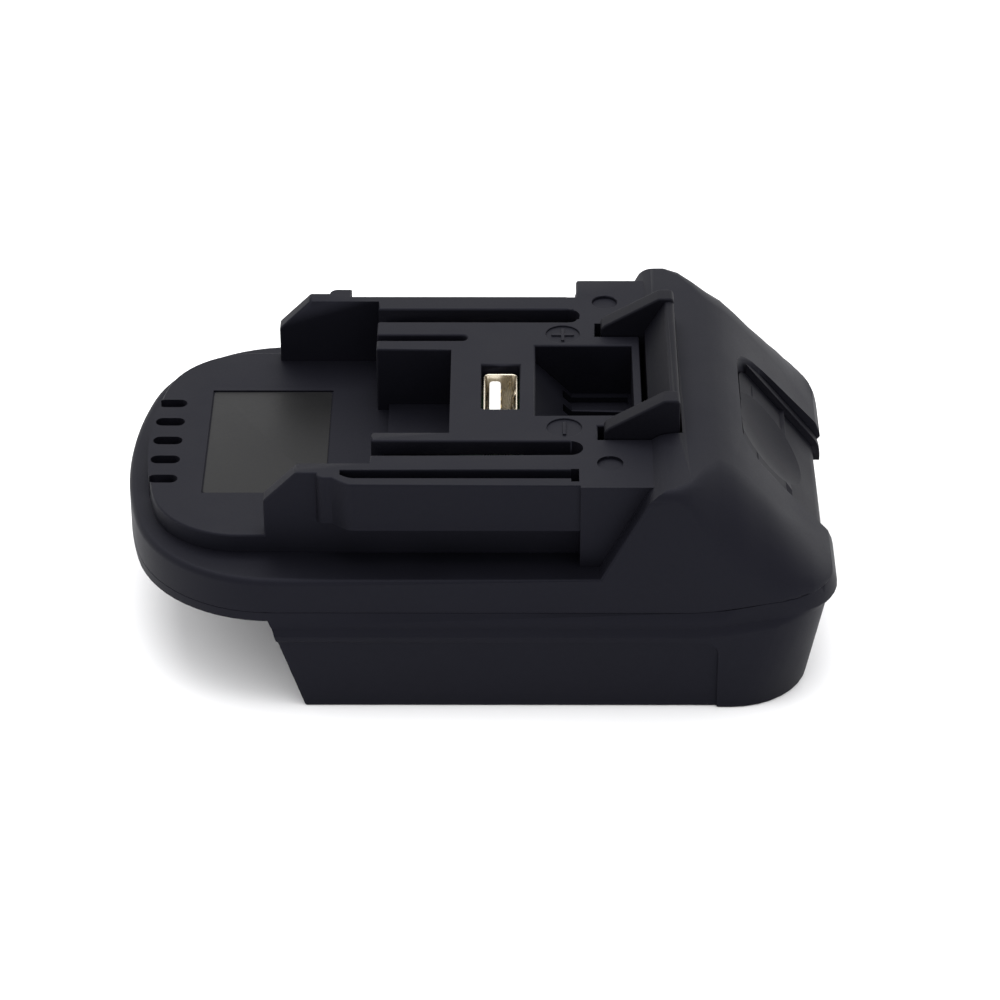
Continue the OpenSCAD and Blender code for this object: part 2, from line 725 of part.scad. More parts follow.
// Upper line of the button from its top edge to its foot, lowered by d along its normal
function button_line(d) =
    let (r = front_r - d)
    concat(
        [[back_x, button_cz + (r - (back_x - button_cx) * sin(button_a)) / cos(button_a)]],
        arc([button_cx, button_cz], r, 90 - button_a, 0, 6),
        [[button_cx + r, button_foot_z]]
    );
module button_section(d0, d1) {
    polygon(concat(button_line(d0), [for (i = [8:-1:0]) button_line(d1)[i]]));
}
module release_latch() {
    color("#2b2c30") difference() {
        union() {
            // Wedge arms
            both_sides() across(arm_y - arm_t / 2, arm_y + arm_t / 2) polygon(concat(
                [[hook_x0, roof_z - 4], [hook_x0, tip_z - 0.6], [hook_x0 + 0.6, tip_z], [hook_x1 - 2.5, hook_z]],
                arc([hook_x1 - 0.8, hook_z - 0.8], 0.8, 90, 0, 4),
                [[hook_x1, bridge_z0], [bar_x0, bridge_z0], [bar_x0, roof_z - 4]]
            ));
            // Crossbar with its ramp
            across(-arm_y, arm_y) polygon(concat(
                [[bar_x0, bridge_z0], [bar_x0, plate_z + 0.6], [hook_x1 - 1.5, hook_z - 0.6]],
                arc([hook_x1 - 0.8, hook_z - 1.3], 0.8, 90, 0, 4),
                [[hook_x1, bridge_z0]]
            ));
            // Bridge to the button, with stop lugs under the roof
            box(bar_x0, recess_x - 0.4, -bridge_y, bridge_y, bridge_z0, bridge_z1);
            box(bar_x0 + 1, button_x0 + button_t, -neck_bridge_y, neck_bridge_y, bridge_z0, bridge_z1);
            both_sides()
                box(recess_x - 4.6, recess_x - 0.4, arm_y - arm_t / 2 - 1, arm_y + arm_t / 2 + 0.5, bridge_z0, stop_lug_z);
            // Button with side rims, back wall, spring shelf, floor and inner skirt
            intersection() {
                union() {
                    across(-wide_y, wide_y) button_section(0, button_t);
                    both_sides() across(button_y - 1.8, wide_y) button_section(-rim_h, over / 2);
                    box(back_x, button_x0 + button_t, -wide_y, wide_y, shelf_z0, button_z(button_x0 + button_t) - 0.5);
                    box(back_x, skirt_in_x, -wide_y, wide_y, shelf_z0, shelf_z0 + 2);
                    box(skirt_in_x - 2, button_x1 - button_t + 0.4, -wide_y, wide_y, button_foot_z, button_foot_z + 2);
                    box(skirt_in_x - 2, skirt_in_x, -wide_y, wide_y, skirt_foot_z, shelf_z0 + 1);
                }
                plan(0, far) recess_plan(latch_gap);
            }
            both_sides() post(spring_x, spring_y, shelf_z0 - 4, shelf_z0 + over, pin_d);
        }
        // Thumb hollow
        translate([hollow_x, 0, button_z(hollow_x)]) rotate([0, button_a, 0]) translate([0, 0, hollow_r - hollow_d])
            sphere(r = hollow_r);
    }
}
hollow_x = (button_x0 + front_cx) / 2 - 0.6;
hollow_r = 42;
stop_lug_z = slope_z(recess_x - 0.4) - wall * 1.5 - 0.3;

// Coil spring: one tube along a helix, with short flat ends
spring_h = spring_z1 - spring_z0 - 2 * seat_gap - spring_wire;
spring_pitch = spring_h / spring_curls;
spring_steps = 8 * spring_curls;
function helix(i) = let (a = i * 45) [spring_d / 2 * cos(a), spring_d / 2 * sin(a), spring_h * i / spring_steps];
echo(spring_gap_to_itself = min([for (i = [0:spring_steps - 8]) norm(helix(i + 8) - helix(i))]) - spring_wire);
module latch_spring(side) {
    color("silver") translate([spring_x, side * spring_y, spring_z0 + seat_gap + spring_wire / 2]) skin([
        for (i = [0:spring_steps])
            let (a = i * 45, c = helix(i), u = [cos(a), sin(a), 0], w = [0, 0, 1])
            [for (j = [0:5]) c + spring_wire / 2 * (cos(-j * 60) * u + sin(-j * 60) * w)]
    ]);
}

// Port: folded metal shell, plastic tongue and four contact strips
board_x1 = stop_x - 2.4;
board_x0 = board_x1 - board_l;
board_z0 = part_h + post_h;
board_z1 = board_z0 + board_t;
port_z0 = board_z1 + seat_gap;
port_z1 = plate_z - port_sink;
tongue_t = 1.9;
module port_outline(inset) {
    square([port_t - 2 * inset, port_w - 2 * inset], center = true);
}
module usb_shell() {
    color("#c9c3b4") translate([port_cx, -port_y, 0]) difference() {
        plan(port_z0, port_z1) port_outline(0);
        plan(port_z0 + 1, far) port_outline(port_sheet);
        // Spring windows in the two wide faces
        for (s = [-1, 1])
            box(-far, far, s * 3 - 1, s * 3 + 1, port_z1 - 9, port_z1 - 4.5);
    }
}
module usb_tongue() {
    color("white") translate([port_cx, -port_y, 0]) difference() {
        union() {
            plan(port_z0 + 1 + seat_gap, port_z0 + 6) port_outline(port_sheet + seat_gap);
            box(tongue_x0, tongue_x0 + tongue_t, -5.7, 5.7, port_z0 + 5, port_z1 - 0.8);
        }
        for (i = [-1.5:1.5])
            box(tongue_x0 + tongue_t - 0.25, far, i * 2.4 - 0.55, i * 2.4 + 0.55, port_z0 + 6, far);
    }
}
tongue_x0 = -port_t / 2 + port_sheet + 0.65;
module usb_contacts() {
    color("gold") translate([port_cx, -port_y, 0])
        for (i = [-1.5:1.5])
            box(tongue_x0 + tongue_t - 0.25 + seat_gap, tongue_x0 + tongue_t + 0.15, i * 2.4 - 0.5, i * 2.4 + 0.5,
                port_z0 + 6 + seat_gap, port_z1 - 1.4);
}

// Converter board and its components
board_screws_at = [[board_x1 - 2.5, 16.2], [board_x0 + 2.5, -16.2]];
module converter_board() {
    color("darkgreen") difference() {
        box(board_x0, board_x1, -board_w / 2, board_w / 2, board_z0 + seat_gap, board_z1);
        for (p = board_screws_at) post(p[0], p[1], 0, far, board_screw_d + 2 * screw_fit);
    }
}
coil_x = board_x0 + 6.6;
coil_y = 5;
module converter_coil() {
    color("#3c3c40") translate([coil_x, coil_y, board_z1 + seat_gap]) {
        for (z = [0, coil_h - 1]) translate([-coil_w / 2, -coil_w / 2, z]) cube([coil_w, coil_w, 1]);
        cylinder(h = coil_h, d = coil_w * 0.5);
    }
}
module coil_winding() {
    color("#b5713a") translate([coil_x, coil_y, board_z1 + seat_gap + 1 + seat_gap]) difference() {
        cylinder(h = coil_h - 2 - 2 * seat_gap, d = coil_w - 1.2);
        translate([0, 0, -over]) cylinder(h = coil_h, d = coil_w * 0.5 + 2 * seat_gap);
    }
}
module capacitors() {
    color("#8d8f96") for (y = [-4.6, -12.2])
        translate([board_x0 + 6, y, board_z1 + seat_gap]) rotate_extrude() polygon([
            [0, 0], [cap_d / 2, 0], [cap_d / 2, 0.9], [cap_d / 2 - 0.3, 1.2], [cap_d / 2, 1.5],
            [cap_d / 2, cap_h - 0.4], [cap_d / 2 - 0.4, cap_h], [0, cap_h]
        ]);
}
chip_x = board_x1 - 4;
module converter_chip() {
    color("#1c1c1e") translate([chip_x, 6, board_z1 + seat_gap]) {
        translate([-2.5, -2, 0.2]) cube([5, 4, 1.4]);
        for (i = [-1.5:1.5], s = [-1, 1]) translate([i * 1.27 - 0.2, s * 2.45 - 0.5, 0]) cube([0.4, 1, 0.4]);
    }
}
module diode() {
    color("#1c1c1e") translate([chip_x, -5, board_z1 + seat_gap]) {
        translate([-2.2, -1.3, 0.2]) cube([4.4, 2.6, 2]);
        for (s = [-1, 1]) translate([s * 2.3 - 0.6, -0.7, 0]) cube([1.2, 1.4, 0.4]);
    }
}
module board_resistors() {
    color("#27272b") for (y = [0, 1.9, -1.9])
        translate([chip_x - 1, y - 0.6, board_z1 + seat_gap]) cube([2, 1.2, 0.5]);
}

// Sprung clip: two leaves that pinch and then flare, cut into three fingers
clip_x = plate_x + 8;
clip_foot = 2.4;
function clip_side(s) = [
    [s * clip_foot, 0], [s * clip_foot, 3.2], [s * (0.45 + clip_t), 8.7], [s * 2, rail_z0 + 2.8 - board_z1],
    [s * (2 - clip_t), rail_z0 + 2.8 - board_z1], [s * 0.45, 8.7], [s * (clip_foot - clip_t), 3.2], [s * (clip_foot - clip_t), 0.8]
];
module output_clip(side) {
    color("#c2a15a") translate([0, side * slot_y, board_z1 + seat_gap]) difference() {
        along(clip_x, clip_x + clip_l)
            polygon(concat(clip_side(-1), [for (i = [7:-1:0]) clip_side(1)[i]]));
        for (i = [1, 2])
            translate([clip_x + clip_l * i / 3 - 0.4, -far, 2.4]) cube([0.8, 2 * far, far]);
    }
}

// Battery terminals
tail_x0 = bay_x1 - 5;
tail_x1 = tail_x0 + 3;
blade_z0 = ceiling_z - 8.6;
block_x0 = bay_x1 - 8;
block_y = blade_y + 8;
tail_z1 = part_h + 2.2;
module terminal_block() {
    color("#3a2f2c") difference() {
        across(-block_y, block_y) polygon([
            [block_x0, blade_z0 - 1.6], [block_x0, ceiling_z - seat_gap], [bay_x1 - seat_gap, ceiling_z - seat_gap],
            [bay_x1 - seat_gap, blade_z0 - 4], [block_x0 + 2.4, blade_z0 - 4]
        ]);
        both_sides() {
            box(0, tail_x1 + seat_gap, blade_y - blade_t / 2 - seat_gap, blade_y + blade_t / 2 + seat_gap,
                blade_z0 - seat_gap, blade_z0 + blade_w + seat_gap);
            box(tail_x0 - seat_gap, tail_x1 + seat_gap, blade_y - blade_t / 2 - seat_gap, blade_y + blade_t / 2 + seat_gap,
                blade_z0, far);
        }
        // Relief between the two poles
        box(0, block_x0 + 3, -5, 5, 0, far);
    }
}
module battery_blade(side) {
    color("#cfcfd2") across(side * blade_y - blade_t / 2, side * blade_y + blade_t / 2) polygon([
        [block_x0 - blade_l, blade_z0 + 1.2], [block_x0 - blade_l + 1.2, blade_z0], [tail_x1, blade_z0],
        [tail_x1, tail_z1], [tail_x0, tail_z1], [tail_x0, blade_z0 + blade_w],
        [block_x0 - blade_l + 1.2, blade_z0 + blade_w], [block_x0 - blade_l, blade_z0 + blade_w - 1.2]
    ]);
}

// Wires from the blades' tails to the board, each in one upright plane
lead_r = lead_d / 2;
lead_pad_z = board_z1 + seat_gap + lead_r;
lead_low_z = part_h + 0.2 + lead_r;
lead_route = [
    [tail_x0 - seat_gap, lead_low_z], [tail_x0 - 3, lead_low_z], [tail_x0 - 7, lead_low_z + 0.3],
    [board_x1 + 6, (lead_low_z + lead_pad_z) / 2 + 0.4], [board_x1 + 3, lead_pad_z + 0.5], [board_x1, lead_pad_z + 0.3],
    [board_x1 - 1.6, lead_pad_z], [board_x1 - 3.6, lead_pad_z]
];
function lead_dir(i) =
    let (d = lead_route[min(i + 1, len(lead_route) - 1)] - lead_route[max(i - 1, 0)]) d / norm(d);
function lead_way(i) = i == 0 || i == len(lead_route) - 1 ? [-1, 0] : lead_dir(i);
module lead(side) {
    translate([0, side * blade_y, 0]) skin([
        for (i = [0:len(lead_route) - 1])
            let (p = lead_route[i], t = lead_way(i))
            [for (j = [0:7]) [p[0] - t[1] * lead_r * sin(j * 45), lead_r * cos(j * 45), p[1] + t[0] * lead_r * sin(j * 45)]]
    ]);
}

// Screws
module pan_screw(x, y, seat_z, length, d, head, height) {
    translate([x, y, seat_z]) {
        cylinder(h = length, d = d);
        translate([0, 0, -height]) difference() {
            cylinder(h = height, d = head);
            for (a = [0, 90]) rotate(a) translate([-head * 0.3, -0.4, -over]) cube([head * 0.6, 0.8, height * 0.5 + over]);
        }
    }
}
module housing_screws() {
    color("#6f7176") both_sides() {
        pan_screw(nose_screw_x, nose_screw_y, nose_seat_z, deck_z - wall - 0.6 - nose_seat_z, screw_d, head_d, head_h);
        pan_screw(front_screw_x, front_screw_y, front_seat_z, front_boss_z - 1.6 - front_seat_z, screw_d, head_d, head_h);
    }
}
module board_screws() {
    color("#6f7176") for (p = board_screws_at)
        translate([p[0], p[1], board_z1 + seat_gap]) mirror([0, 0, 1])
            pan_screw(0, 0, 0, board_z1 - ceiling_z - 1.2, board_screw_d, 3.8, 1.4);
}

top_shell();
bottom_shell();
release_latch();
latch_spring(-1);  // latch_spring_near
latch_spring(1);  // latch_spring_far
usb_shell();
usb_tongue();
usb_contacts();
converter_board();
converter_coil();
coil_winding();
capacitors();
converter_chip();
diode();
board_resistors();
output_clip(1);  // output_clip_positive
output_clip(-1);  // output_clip_negative
terminal_block();
battery_blade(1);  // battery_blade_positive
battery_blade(-1);  // battery_blade_negative
color("red") lead(1);  // lead_positive
color("black") lead(-1);  // lead_negative
housing_screws();
board_screws();
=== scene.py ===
"""Looks of a slide-on tool battery adapter: moulded shells, a sprung latch and a small power port."""

from __future__ import annotations

import logging
import math
from dataclasses import dataclass, field
from enum import Enum

import bmesh
import bpy
import numpy as np
from mathutils import Matrix, Vector
from mathutils.bvhtree import BVHTree


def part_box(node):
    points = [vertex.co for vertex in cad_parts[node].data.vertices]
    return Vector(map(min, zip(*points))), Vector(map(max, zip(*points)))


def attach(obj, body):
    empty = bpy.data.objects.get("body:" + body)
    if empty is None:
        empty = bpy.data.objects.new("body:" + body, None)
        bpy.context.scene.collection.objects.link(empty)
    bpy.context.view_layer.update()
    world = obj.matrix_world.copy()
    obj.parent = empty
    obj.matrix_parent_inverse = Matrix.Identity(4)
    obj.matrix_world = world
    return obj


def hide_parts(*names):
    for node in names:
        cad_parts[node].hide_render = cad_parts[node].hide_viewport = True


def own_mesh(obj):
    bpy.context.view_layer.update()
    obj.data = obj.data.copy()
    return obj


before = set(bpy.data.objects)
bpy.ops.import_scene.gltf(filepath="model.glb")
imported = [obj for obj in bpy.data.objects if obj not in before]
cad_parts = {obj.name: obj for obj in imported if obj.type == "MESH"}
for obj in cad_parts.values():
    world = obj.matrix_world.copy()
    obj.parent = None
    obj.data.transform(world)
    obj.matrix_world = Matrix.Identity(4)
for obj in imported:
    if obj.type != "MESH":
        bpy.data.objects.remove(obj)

LOG = logging.getLogger("battery_adapter")
MM = 0.001

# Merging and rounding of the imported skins
MERGE_GAP = 0.002 * MM
FLAT = math.radians(0.5)
CREASE = math.radians(28.0)
SHALLOW_CREASE = math.radians(8.0)
PLANE_SLACK = 1e-9
SHORTEST_EDGE = 1e-12
ROOM_SHARE = 0.4
ROUNDING_STEPS = 3
NORMAL_WEIGHT = 60
SETTLE_ROUNDS = 6
STRAY_REACH = 0.9 * MM
SHORT_CHAIN = 100.0 * MM
SKIN_RISE = 0.004 * MM
SKIN_GAP = 0.006 * MM
DEEPEST_SHARE = 0.6
TURNED_OVER = -0.1
SLIVER_AREA = 1e-10

# Corners of the slabs
LEAST_CORNER = 0.02 * MM
NEARLY_ROUND = 0.999

# Surface detail of the finishes
CLOUD_SCALE = 90.0
CLOUD_DARK, CLOUD_LIGHT = 0.86, 1.12
ROUGH_SPREAD = 0.06
ROLLING_LINES = (3000.0, 3000.0, 300.0)
METAL_SMOOTHER, METAL_ROUGHER = 0.06, 0.08
METAL_DARK = 0.88

# Camera frame
SENSOR_MM = 36.0
FRAME_PX = 1000.0


class Sheen(Enum):
    """How smooth a surface is, as a roughness."""

    MATT = 0.56
    SATIN = 0.42
    BRIGHT = 0.26


class Body(Enum):
    """Moving bodies of the part."""

    HOUSING = "housing"
    LATCH = "latch"


@dataclass(frozen=True)
class MouldedPlastic:
    """Fine-grained moulded plastic.

    Attributes:
        name: Name of the finish.
        colour: Base colour, linear.
        sheen: How smooth the surface is.
        gloss: Strength of the mirror reflection.
        tint: Colour of the mirror reflection; bluish on the charcoal plastics, where it is a painted cool
            cast standing in for the bluish overhead light.
        grain: Size of the grain, in metres.
        relief: Depth of the grain, in metres.
    """

    name: str
    colour: tuple[float, float, float]
    sheen: Sheen = Sheen.MATT
    gloss: float = 0.30
    tint: tuple[float, float, float] = (1.0, 1.0, 1.0)
    grain: float = 0.30 * MM
    relief: float = 0.010 * MM

    def material(self) -> bpy.types.Material:
        """Builds the node tree: fine noise gives relief and roughness, wide noise a faint cloud of tint.

        Returns:
            The finished material.
        """
        mat = bpy.data.materials.new(self.name)
        mat.use_nodes = True
        nodes, links = mat.node_tree.nodes, mat.node_tree.links
        shader = nodes["Principled BSDF"]
        place = nodes.new("ShaderNodeTexCoord")
        fine = nodes.new("ShaderNodeTexNoise")
        fine.inputs["Scale"].default_value = 1.0 / self.grain
        fine.inputs["Detail"].default_value = 2.0
        wide = nodes.new("ShaderNodeTexNoise")
        wide.inputs["Scale"].default_value = CLOUD_SCALE
        wide.inputs["Detail"].default_value = 4.0
        tint = nodes.new("ShaderNodeValToRGB")
        tint.color_ramp.elements[0].position = 0.3
        tint.color_ramp.elements[1].position = 0.7
        tint.color_ramp.elements[0].color = (*[CLOUD_DARK * c for c in self.colour], 1.0)
        tint.color_ramp.elements[1].color = (*[CLOUD_LIGHT * c for c in self.colour], 1.0)
        blend = nodes.new("ShaderNodeMath")
        blend.operation = "MULTIPLY_ADD"
        blend.inputs[1].default_value = 0.5
        rough = nodes.new("ShaderNodeMapRange")
        rough.inputs["From Min"].default_value = 0.25
        rough.inputs["From Max"].default_value = 1.0
        rough.inputs["To Min"].default_value = self.sheen.value - ROUGH_SPREAD
        rough.inputs["To Max"].default_value = self.sheen.value + ROUGH_SPREAD
        bump = nodes.new("ShaderNodeBump")
        bump.inputs["Strength"].default_value = 0.5
        bump.inputs["Distance"].default_value = self.relief
        for noise in (fine, wide):
            links.new(place.outputs["Object"], noise.inputs["Vector"])
        links.new(wide.outputs["Fac"], tint.inputs["Fac"])
        links.new(tint.outputs["Color"], shader.inputs["Base Color"])
        links.new(fine.outputs["Fac"], blend.inputs[0])
        links.new(wide.outputs["Fac"], blend.inputs[2])
        links.new(blend.outputs["Value"], rough.inputs["Value"])
        links.new(rough.outputs["Result"], shader.inputs["Roughness"])
        links.new(fine.outputs["Fac"], bump.inputs["Height"])
        links.new(bump.outputs["Normal"], shader.inputs["Normal"])
        shader.inputs["Specular IOR Level"].default_value = self.gloss
        shader.inputs["Specular Tint"].default_value = (*self.tint, 1.0)
        return mat


@dataclass(frozen=True)
class Metal:
    """Sheet, wire or turned metal.

    Attributes:
        name: Name of the finish.
        colour: Reflected colour, linear.
        sheen: How smooth the surface is.
    """

    name: str
    colour: tuple[float, float, float]
    sheen: Sheen = Sheen.BRIGHT

    def material(self) -> bpy.types.Material:
        """Builds the node tree: a noise stretched upwards gives faint rolling lines.

        Returns:
            The finished material.
        """
        mat = bpy.data.materials.new(self.name)
        mat.use_nodes = True
        nodes, links = mat.node_tree.nodes, mat.node_tree.links
        shader = nodes["Principled BSDF"]
        shader.inputs["Metallic"].default_value = 1.0
        place = nodes.new("ShaderNodeTexCoord")
        stretch = nodes.new("ShaderNodeMapping")
        stretch.inputs["Scale"].default_value = ROLLING_LINES
        lines = nodes.new("ShaderNodeTexNoise")
        lines.inputs["Scale"].default_value = 1.0
        rough = nodes.new("ShaderNodeMapRange")
        rough.inputs["To Min"].default_value = self.sheen.value - METAL_SMOOTHER
        rough.inputs["To Max"].default_value = self.sheen.value + METAL_ROUGHER
        tint = nodes.new("ShaderNodeValToRGB")
        tint.color_ramp.elements[0].color = (*[METAL_DARK * c for c in self.colour], 1.0)
        tint.color_ramp.elements[1].color = (*self.colour, 1.0)
        links.new(place.outputs["Object"], stretch.inputs["Vector"])
        links.new(stretch.outputs["Vector"], lines.inputs["Vector"])
        links.new(lines.outputs["Fac"], rough.inputs["Value"])
        links.new(lines.outputs["Fac"], tint.inputs["Fac"])
        links.new(tint.outputs["Color"], shader.inputs["Base Color"])
        links.new(rough.outputs["Result"], shader.inputs["Roughness"])
        return mat


Finish = MouldedPlastic | Metal

# The dark charcoal is the plastic's own colour; the extra blue in its base colour and the bluish
# reflection tint are a painted cool cast standing in for the bluish overhead light.
CHARCOAL = MouldedPlastic(
    "charcoal_plastic", (0.0026, 0.0026, 0.0042), gloss=0.135, tint=(0.76, 0.77, 1.0)
)
# The latch plastic is the shell plastic with a weaker reflection: a darker copy that paints onto the flat
# button the shade a scooped button would catch. Its bluish reflection tint is the same painted cool cast
# as on the charcoal plastic.
SHADED_LATCH_PLASTIC = MouldedPlastic(
    "latch_plastic", (0.0026, 0.0026, 0.0040), gloss=0.10, tint=(0.80, 0.80, 1.0)
)
LABEL_FILM = MouldedPlastic("label_film", (0.0042, 0.0042, 0.0046), Sheen.SATIN, 0.16, grain=0.6 * MM)
WHITE_PLASTIC = MouldedPlastic("white_tongue_plastic", (0.80, 0.80, 0.78), Sheen.SATIN, 0.5)
BOARD_RESIN = MouldedPlastic("board_resin", (0.012, 0.07, 0.03), Sheen.SATIN, 0.5)
BLACK_RESIN = MouldedPlastic("black_resin", (0.012, 0.012, 0.013), Sheen.SATIN, 0.4)
FERRITE = MouldedPlastic("ferrite", (0.03, 0.03, 0.032))
RED_SLEEVE = MouldedPlastic("red_sleeve", (0.35, 0.02, 0.015), Sheen.SATIN, 0.5)
STEEL = Metal("zinc_steel", (0.60, 0.60, 0.60))
WARM_PLATE = Metal("nickel_plate", (0.72, 0.65, 0.53))
GOLD = Metal("gold_flash", (0.86, 0.66, 0.30))
COPPER = Metal("copper", (0.78, 0.42, 0.25))
ALUMINIUM = Metal("aluminium", (0.75, 0.76, 0.77), Sheen.SATIN)


class Paint:
    """Keeps one material for each finish."""

    made: dict[str, bpy.types.Material] = {}

    @classmethod
    def on(cls, obj: bpy.types.Object, finish: Finish) -> None:
        """Puts a finish on a piece.

        Args:
            obj: The piece.
            finish: Its finish.
        """
        if finish.name not in cls.made:
            cls.made[finish.name] = finish.material()
        obj.data.materials.clear()
        obj.data.materials.append(cls.made[finish.name])


def link(mesh: bpy.types.Mesh, body: Body, finish: Finish) -> bpy.types.Object:
    """Makes a finished piece of a mesh and lets it ride.

    Args:
        mesh: The piece's mesh, whose name it takes.
        body: Body that the piece moves with.
        finish: Finish of the piece.

    Returns:
        The new piece.
    """
    obj = bpy.data.objects.new(mesh.name, mesh)
    bpy.context.scene.collection.objects.link(obj)
    Paint.on(obj, finish)
    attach(obj, body.value)
    LOG.info("built %s", mesh.name)
    return obj


def rounded_rectangle(half_x: float, half_y: float, radius: float, steps: int = 6) -> np.ndarray:
    """Outline of a rectangle with round corners, anticlockwise.

    Each corner point is the corner's centre plus the radius times the unit circle.

    Args:
        half_x: Half the length along x.
        half_y: Half the length along y.
        radius: Radius of the corners.
        steps: Parts of each quarter circle.

    Returns:
        Points of the outline, one row each.
    """
    turn = np.linspace(0.0, np.pi / 2, steps + 1)
    angles = (np.arange(4)[:, None] * np.pi / 2 + turn[None, :]).ravel()
    signs = np.repeat(np.array([[1, 1], [-1, 1], [-1, -1], [1, -1]]), steps + 1, axis=0)
    centres = signs * np.array([half_x - radius, half_y - radius])
    return centres + radius * np.stack([np.cos(angles), np.sin(angles)], axis=1)


def swept_mesh(name: str, points: np.ndarray, ring: bool) -> bpy.types.Mesh:
    """Mesh of a grid of points: section after section, each closed around its outline.

    Args:
        name: Name of the mesh.
        points: Array of sections by outline points by three.
        ring: True if the last section joins the first, otherwise both ends are capped.

    Returns:
        The closed, smooth mesh.
    """
    rows, cols = points.shape[:2]
    index = np.arange(rows * cols).reshape(rows, cols)
    lower = index if ring else index[:-1]
    upper = np.roll(index, -1, axis=0) if ring else index[1:]
    quads = np.stack([lower, np.roll(lower, -1, 1), np.roll(upper, -1, 1), upper], axis=-1)
    caps = [] if ring else [index[0, ::-1].tolist(), index[-1].tolist()]
    mesh = bpy.data.meshes.new(name)
    mesh.from_pydata(points.reshape(-1, 3).tolist(), [], quads.reshape(-1, 4).tolist() + caps)
    mesh.shade_smooth()
    return mesh


def at_levels(plan: np.ndarray, levels: np.ndarray) -> np.ndarray:
    """Lifts each plan outline to its level.

    Args:
        plan: Array of sections by outline points by two.
        levels: Level of each section.

    Returns:
        Array of sections by outline points by three.
    """
    heights = np.broadcast_to(levels[:, None, None], (*plan.shape[:2], 1))
    return np.concatenate([plan, heights], axis=-1)


def slab(
    centre: tuple[float, float],
    half: tuple[float, float],
    heights: tuple[float, float],
    radius: float,
    edge: float,
) -> np.ndarray:
    """Upright slab with round corners in plan and a round top edge.

    Sections are the plan outline drawn in by an inset that follows a quarter circle at the top.

    Args:
        centre: Centre in plan.
        half: Half sizes in plan.
        heights: Lowest and highest level.
        radius: Radius of the corners in plan.
        edge: Radius of the top edge.

    Returns:
        Array of sections by outline points by three.
    """
    turn = np.linspace(0.0, np.pi / 2, 5)
    insets = np.concatenate([[0.0], edge * (1.0 - np.cos(turn))])
    levels = np.concatenate([[heights[0]], heights[1] - edge + edge * np.sin(turn)])
    plans = [rounded_rectangle(half[0] - i, half[1] - i, max(radius - i, LEAST_CORNER)) for i in insets]
    return at_levels(np.stack(plans) + np.array(centre), levels)


def read(items: bpy.types.bpy_prop_collection, name: str, width: int, kind: type = float) -> np.ndarray:
    """Reads one property of all items of a mesh as an array.

    Args:
        items: Vertices, edges, loops or faces.
        name: Property to read.
        width: Numbers in each item's property.
        kind: Type of the numbers.

    Returns:
        Array of items by width.
    """
    values = np.empty(len(items) * width, dtype=np.float32 if kind is float else np.int32)
    items.foreach_get(name, values)
    return values.reshape(-1, width).astype(kind)


@dataclass(frozen=True)
class EdgeZone:
    """Edges with a radius of their own.

    Attributes:
        low: Lowest corner of the zone, in millimetres.
        high: Highest corner of the zone, in millimetres.
        radius: Radius of the edges in it, in millimetres.
    """

    low: tuple[float, float, float]
    high: tuple[float, float, float]
    radius: float

    def holds(self, points: np.ndarray) -> np.ndarray:
        """True for each point, in metres, that lies in the zone."""
        return np.all((points >= np.array(self.low) * MM) & (points <= np.array(self.high) * MM), axis=1)


